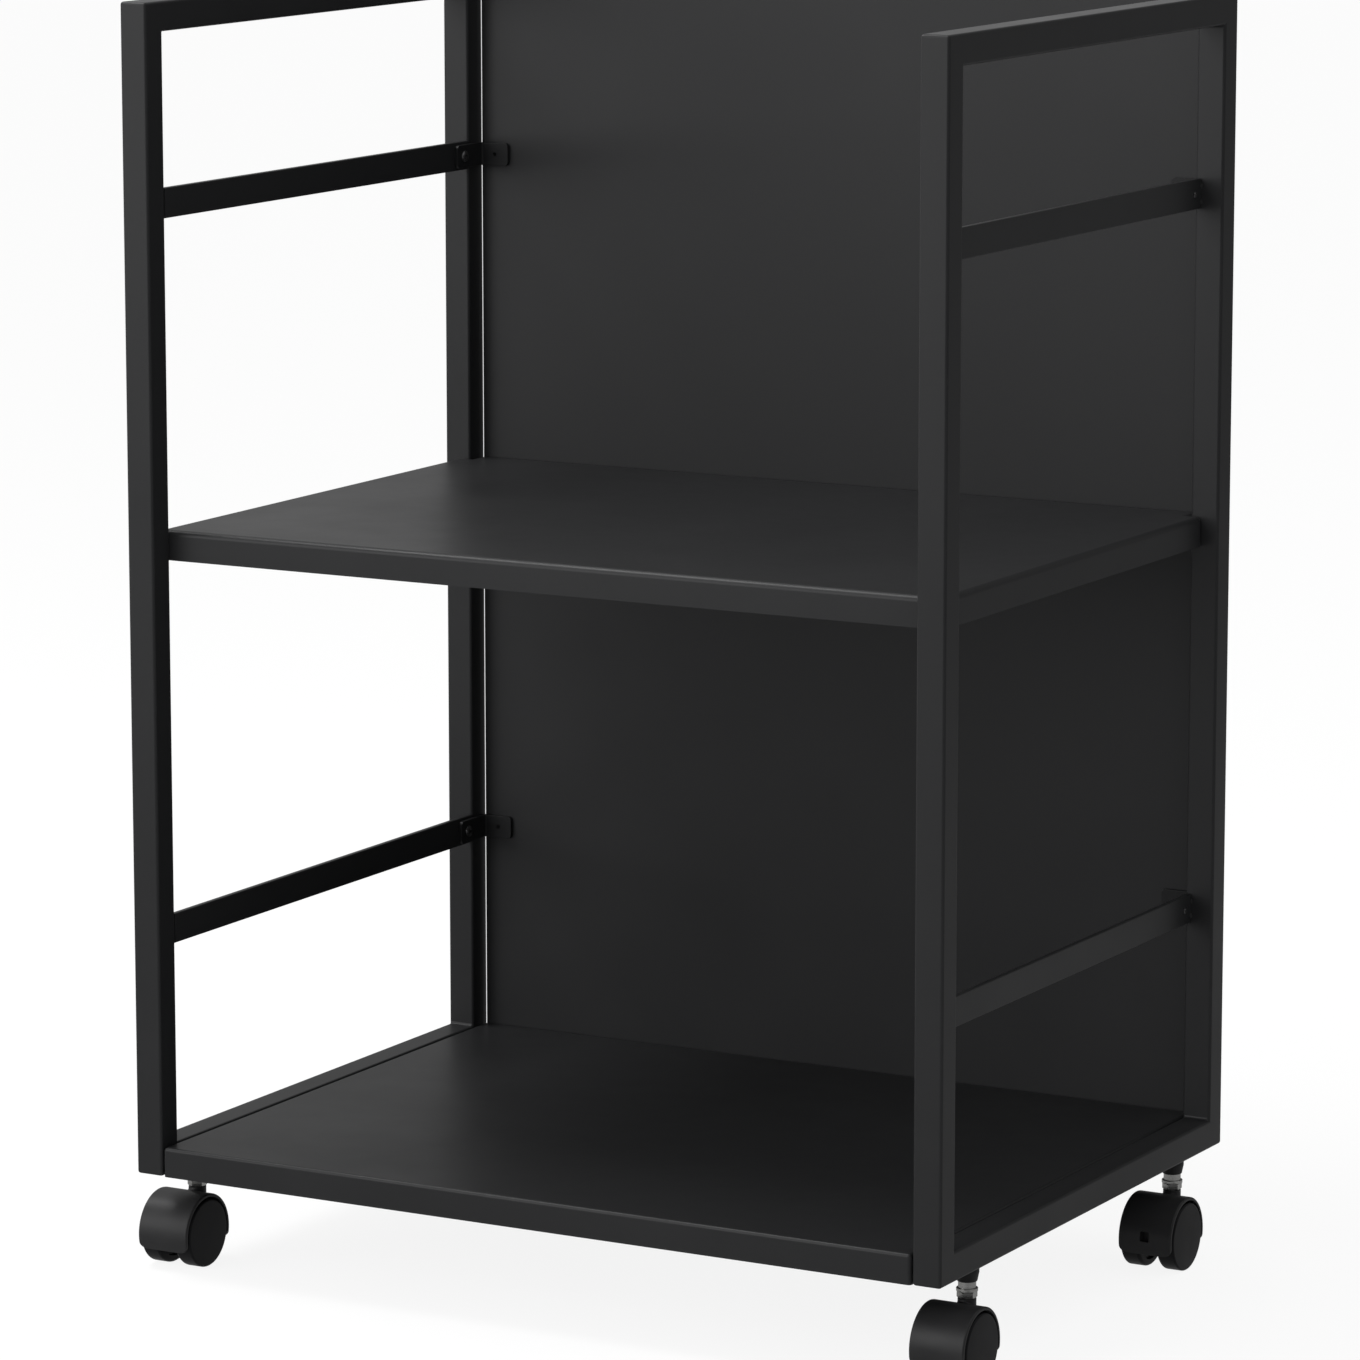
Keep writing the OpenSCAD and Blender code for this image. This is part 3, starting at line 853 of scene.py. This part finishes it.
def makeSocket():
    # the stem's socket; its flare and underside start at marked heights and are then laid on the drum
    look = hoodLook
    radius, top, floor = look["socket"], look["socketTop"], look["socketTop"] - look["boreDepth"]
    steps, flareMark, underMark = look["flareSteps"], 40, 20
    corners = [(0, floor), (look["bore"], floor), (look["bore"], top), (radius, top, look["socketEdge"]),
               (radius, floor)]
    # the last corner only leads the edge's arc; the flare takes its place
    line = roundCorners(corners, 3)[:-1]
    wide = [(radius + look["flareReach"] * (k / steps) ** 2, flareMark - k) for k in range(steps + 1)]
    end = wide[-1][0]
    under = [(end * share, underMark - share) for share in look["underRings"]]
    piece = lathe("socket", line + wide + under)
    shape = bmesh.from_edit_mesh(piece.data)
    for corner in shape.verts:
        y, z = corner.co.y / mm, corner.co.z / mm
        if z < underMark + beyond:
            corner.co.z = (hoodHeight(y) - look["socketRoot"]) * mm
        elif z < flareMark + beyond:
            share = (flareMark - z) / steps
            rise = look["flareRise"] * (1 - share) ** 2
            corner.co.z = (hoodHeight(y) - look["flareRoot"] + rise) * mm
    bmesh.update_edit_mesh(piece.data)
    pickNothing()
    return piece


def makeHood(name, window):
    # a drum hollowed for the two wheels, open below, with a web between them and the socket on top
    look = hoodLook
    half, radius, web, foot = look["halfWidth"], look["radius"], look["web"], look["foot"]
    inner, edge, sides = radius - look["wall"], look["edge"], look["sides"]
    y, z = -casterLook["trail"], casterLook["axleHeight"]
    line = roundCorners([(0, -half), (radius, -half, edge), (radius, half, edge), (0, half)], 4)
    piece = lathe(name, line, (0, y, z), (1, 0, 0), sides)
    pickNothing()
    # a chamber for each wheel, flared at its mouth
    widening, deep = look["mouth"]
    inside = [(0, web), (inner, web, look["chamberRounding"]), (inner, half, look["mouthRounding"]),
              (inner + widening, half + deep), (0, half + deep)]
    for side in (-1, 1):
        chamber = lathe("tool", roundCorners(inside, 4), (0, y, z), (side, 0, 0), sides)
        pickNothing()
        carve(piece, chamber)
    # the web ends at the axle's height
    webEnd = web + look["webSlack"]
    lower = addRod("tool", inner, (-webEnd, y, z), (webEnd, y, z), sides)
    bpy.ops.mesh.select_all(action="SELECT")
    bpy.ops.mesh.bisect(plane_co=(0, 0, z * mm), plane_no=(0, 0, 1), clear_outer=True, use_fill=True)
    pickNothing()
    carve(piece, lower)
    # the drum is cut off at the foot with round corners
    front, back, sideEnd = y - look["toolReach"], y + look["toolReach"], half + look["sideSlack"]
    trim = addBlock("tool", (-sideEnd, front, foot), (sideEnd, back, look["toolTop"]))
    select(trim, "EDGE", lambda spot, way: abs(way.y) > along and spot.z < foot + beyond)
    bevelPicked(look["footRounding"], 8)
    pickNothing()
    carve(piece, trim, operation="INTERSECT")
    bossEnd = look["bossHalf"]
    boss = addRod("tool", look["boss"], (-bossEnd, y, z), (bossEnd, y, z), look["bossSides"])
    pickNothing()
    carve(piece, boss, operation="UNION")
    if window:
        wide, tall, rise, depth = look["window"]
        low, top = z + rise - tall, z + rise + tall
        pocket = addBlock("tool", (-wide, front, low), (wide, y - radius + depth, top))
        select(pocket, "EDGE", lambda spot, way: abs(way.y) > along)
        bevelPicked(look["windowRounding"], 3)
        pickNothing()
        carve(piece, pocket)
    bevelModified(piece, look["bevel"], look["bevelAngle"])
    return joinPieces(name, [piece, makeSocket()])


def makeStem():
    look = stemLook
    low, high, reach, bury = look["hexLow"], look["hexHigh"], look["hexAcross"] / 2, look["bury"]
    hexagon = addRod("stem", look["hexAcross"] / math.sqrt(3), (0, 0, low), (0, 0, high), hexSides)
    pickNothing()
    start, out, rise = look["hexChamfer"]
    taper = [(0, low), (reach - start, low), (reach + out, low + rise), (reach + out, high - rise),
             (reach - start, high), (0, high)]
    cone = lathe("tool", taper, steps=look["sides"])
    pickNothing()
    carve(hexagon, cone, operation="INTERSECT")
    bevelModified(hexagon, look["hexBevel"], look["hexBevelAngle"])
    pin, thread, collar = look["pin"], look["thread"], look["collar"]
    pinEnd, collarLow, collarHigh = low + look["pinBury"], look["washerHigh"] - bury, look["bushLow"] + bury
    line = [(0, look["pinLow"]), (pin, look["pinLow"], look["pinEdge"]), (pin, pinEnd), (thread, pinEnd),
            (thread, collarLow), (collar, collarLow), (collar, collarHigh, look["collarEdge"]),
            (thread, collarHigh), (thread, look["top"], look["threadEdge"]), (0, look["top"])]
    shaft = lathe("shaft", roundCorners(line, 3), steps=look["shaftSides"])
    pickNothing()
    return joinPieces("stem", [hexagon, shaft])


def makeWasher():
    look = stemLook
    low, high, hole = look["hexHigh"], look["washerHigh"], look["thread"] + look["slack"]
    radius, edge = look["washer"], look["washerEdge"]
    line = roundCorners([(hole, low), (radius, low, edge), (radius, high, edge), (hole, high)], 3)
    piece = lathe("washer", line + [line[0]], steps=look["sides"])
    pickNothing()
    return piece


def makeBush():
    # flared below the rail, with a neck inside it
    look = stemLook
    low, rail, hole = look["bushLow"], look["railLow"] - look["railGap"], look["thread"] + look["slack"]
    wide, neck, top = look["bushTop"], look["bushNeck"], look["top"]
    footEdge, flareEdge, topEdge = look["bushEdges"]
    corners = [(hole, low), (look["bushFoot"], low, footEdge), (wide, low + look["bushFlare"], flareEdge),
               (wide, rail, topEdge), (neck, rail), (neck, top), (hole, top)]
    line = roundCorners(corners, 4)
    piece = lathe("bush", line + [line[0]], steps=look["sides"])
    pickNothing()
    return piece


def makeCasters():
    wheel, stem, washer, bush = makeWheel(), makeStem(), makeWasher(), makeBush()
    hoods = {"front": makeHood("plainHood", False), "rear": makeHood("latchHood", True)}
    washers = []
    for corner, place in casterLook["corners"].items():
        end, side = corner.split("_")
        word = end + side.capitalize()
        hood = copyPiece(hoods[end], word + "Hood", place)
        finishPiece(hood, corner + "_caster", "hood_plastic", corner + "_hood")
        for spot, way in (("outer", place[0]), ("inner", -place[0])):
            # a wheel that faces -X is turned about the stem and moved back over the axle
            shift, turn = Vector(place), (0, 0, 0)
            if way < 0:
                shift, turn = shift + Vector((0, -2 * casterLook["trail"], 0)), (0, 0, 180)
            copy = copyPiece(wheel, f"{word}{spot.capitalize()}Wheel", shift, turn)
            finishPiece(copy, f"{corner}_{spot}_wheel", "wheel_plastic", f"{corner}_wheel_{spot}")
        finishPiece(copyPiece(stem, word + "Stem", place), "trolley", "zinc", corner + "_stem")
        finishPiece(copyPiece(bush, word + "Bush", place), "trolley", "bush_plastic", corner + "_bush")
        washers.append(copyPiece(washer, "washerCopy", place))
    finishPiece(joinPieces("stemWashers", washers), "trolley", "zinc", "stem_washers")
    for master in (wheel, stem, washer, bush, *hoods.values()):
        bpy.data.objects.remove(master)


makeCasters()
print("casters made")


# Studio

studioLook = {
    "floorSize": 60.0,
    "floorTint": (0.9, 0.9, 0.9, 1),
    "floorGlow": 0.88,  # share of the floor that shows as plain white to the camera
    "worldForDiffuse": 0.8,
    "keyPlace": (-1.6, -3.0, 1.45),
    "keyAim": (0, 0, 0.6),
    "keySize": (2.6, 2.0),
    "keyPower": 62.0,
    "topPlace": (-1.25, -0.45, 2.75),
    "topAim": (0, 0, 0.4),
    "topSize": (1.0, 1.0),
    "topPower": 52.0,
    # grey screens round the trolley: shade, middle, width, height and the turns about X and Z
    "flags": {
        "flagLeft": (0.36, (-2.4, 2.0, 0.55), 4.4, 1.1, 90, 0),
        "flagHigh": (0.66, (-2.4, 2.0, 1.85), 4.4, 1.5, 90, 0),
        "flagBack": (0.2, (1.35, 2.0, 1.3), 3.1, 2.6, 90, 0),
        "flagRight": (0.14, (2.9, -0.6, 1.3), 5.2, 2.6, 90, 90),
        "flagFront": (0.04, (1.75, -3.15, 1.1), 2.2, 2.2, 90, 29),
        "flagFloor": (0.42, (0, -0.6, 0.001), 7.0, 5.2, 0, 0),
    },
}


def facing(place, aim):
    # the turn of a lamp or camera at the place that looks at the aim
    return (Vector(aim) - Vector(place)).to_track_quat("-Z", "Y").to_euler()


def addSoftbox(name, place, aim, size, power):
    pickNothing()
    bpy.ops.object.light_add(type="AREA", location=place)
    lamp = bpy.context.object
    lamp.name = name
    lamp.data.shape = "RECTANGLE"
    lamp.data.size, lamp.data.size_y = size
    lamp.data.energy = power
    lamp.rotation_euler = facing(place, aim)


def backgroundRays(graph):
    # 1 for the rays that see the background: from the camera, in a gloss or through glass
    seen = graph.node("ShaderNodeLightPath", out="Is Camera Ray")
    for name in ("Is Glossy Ray", "Is Transmission Ray"):
        seen = seen.combine("MAXIMUM", seen, graph.node("ShaderNodeLightPath", out=name))
    return seen


def addFlag(name, shade, place, width, height, tilt, turn):
    # a grey screen that only reflections see, as on a set for black goods
    pickNothing()
    turns = (math.radians(tilt), 0, math.radians(turn))
    bpy.ops.mesh.primitive_plane_add(size=1, location=place, rotation=turns)
    flag = bpy.context.object
    flag.name = name
    flag.scale = (width, height, 1)
    flag.visible_camera = flag.visible_diffuse = flag.visible_shadow = False
    material, graph = newMaterial(name + "Cloth")
    glow = graph.node("ShaderNodeEmission", None, {"Color": (shade, shade, shade, 1)})
    graph.node("ShaderNodeOutputMaterial", None, {"Surface": glow})
    flag.data.materials.append(material)


def makeStudio():
    look = studioLook
    pickNothing()
    bpy.ops.mesh.primitive_plane_add(size=look["floorSize"], location=(0, 0, 0))
    floor = bpy.context.object
    floor.name = "floor"
    material, graph = newMaterial("floorPaint")
    paint = graph.node("ShaderNodeBsdfDiffuse", None, {"Color": look["floorTint"]})
    glow = graph.node("ShaderNodeEmission", None, {"Color": (1, 1, 1, 1)})
    share = backgroundRays(graph) * look["floorGlow"]
    mixed = graph.node("ShaderNodeMixShader", None, [share, paint, glow])
    graph.node("ShaderNodeOutputMaterial", None, {"Surface": mixed})
    floor.data.materials.append(material)
    world = bpy.data.worlds.new("studioAir")
    bpy.context.scene.world = world
    graph = Graph(world)
    strength = graph.spread(backgroundRays(graph), look["worldForDiffuse"], 1.0, 0.0, 1.0)
    air = graph.node("ShaderNodeBackground", None, {"Color": (1, 1, 1, 1), "Strength": strength})
    graph.node("ShaderNodeOutputWorld", None, {"Surface": air})
    addSoftbox("keySoftbox", look["keyPlace"], look["keyAim"], look["keySize"], look["keyPower"])
    addSoftbox("topSoftbox", look["topPlace"], look["topAim"], look["topSize"], look["topPower"])
    for name, setting in look["flags"].items():
        addFlag(name, *setting)


makeStudio()
print("studio made")


# Camera, fitted to the frame's corners in the photograph

cameraLook = {
    "place": (2.019, -3.652, 1.137),
    "aim": (-0.0032, 0.0, 0.397),
    "lens": 168.63,
    "sensor": 36.0,
    "clipEnd": 100.0,
}


def makeCamera():
    look = cameraLook
    pickNothing()
    bpy.ops.object.camera_add(location=look["place"])
    camera = bpy.context.object
    camera.name = "photoCamera"
    camera.rotation_euler = facing(look["place"], look["aim"])
    camera.data.sensor_width = look["sensor"]
    camera.data.lens = look["lens"]
    camera.data.clip_end = look["clipEnd"]
    camera.data.dof.use_dof = False
    bpy.context.scene.camera = camera


makeCamera()
bpy.context.scene.view_settings.view_transform = "Standard"
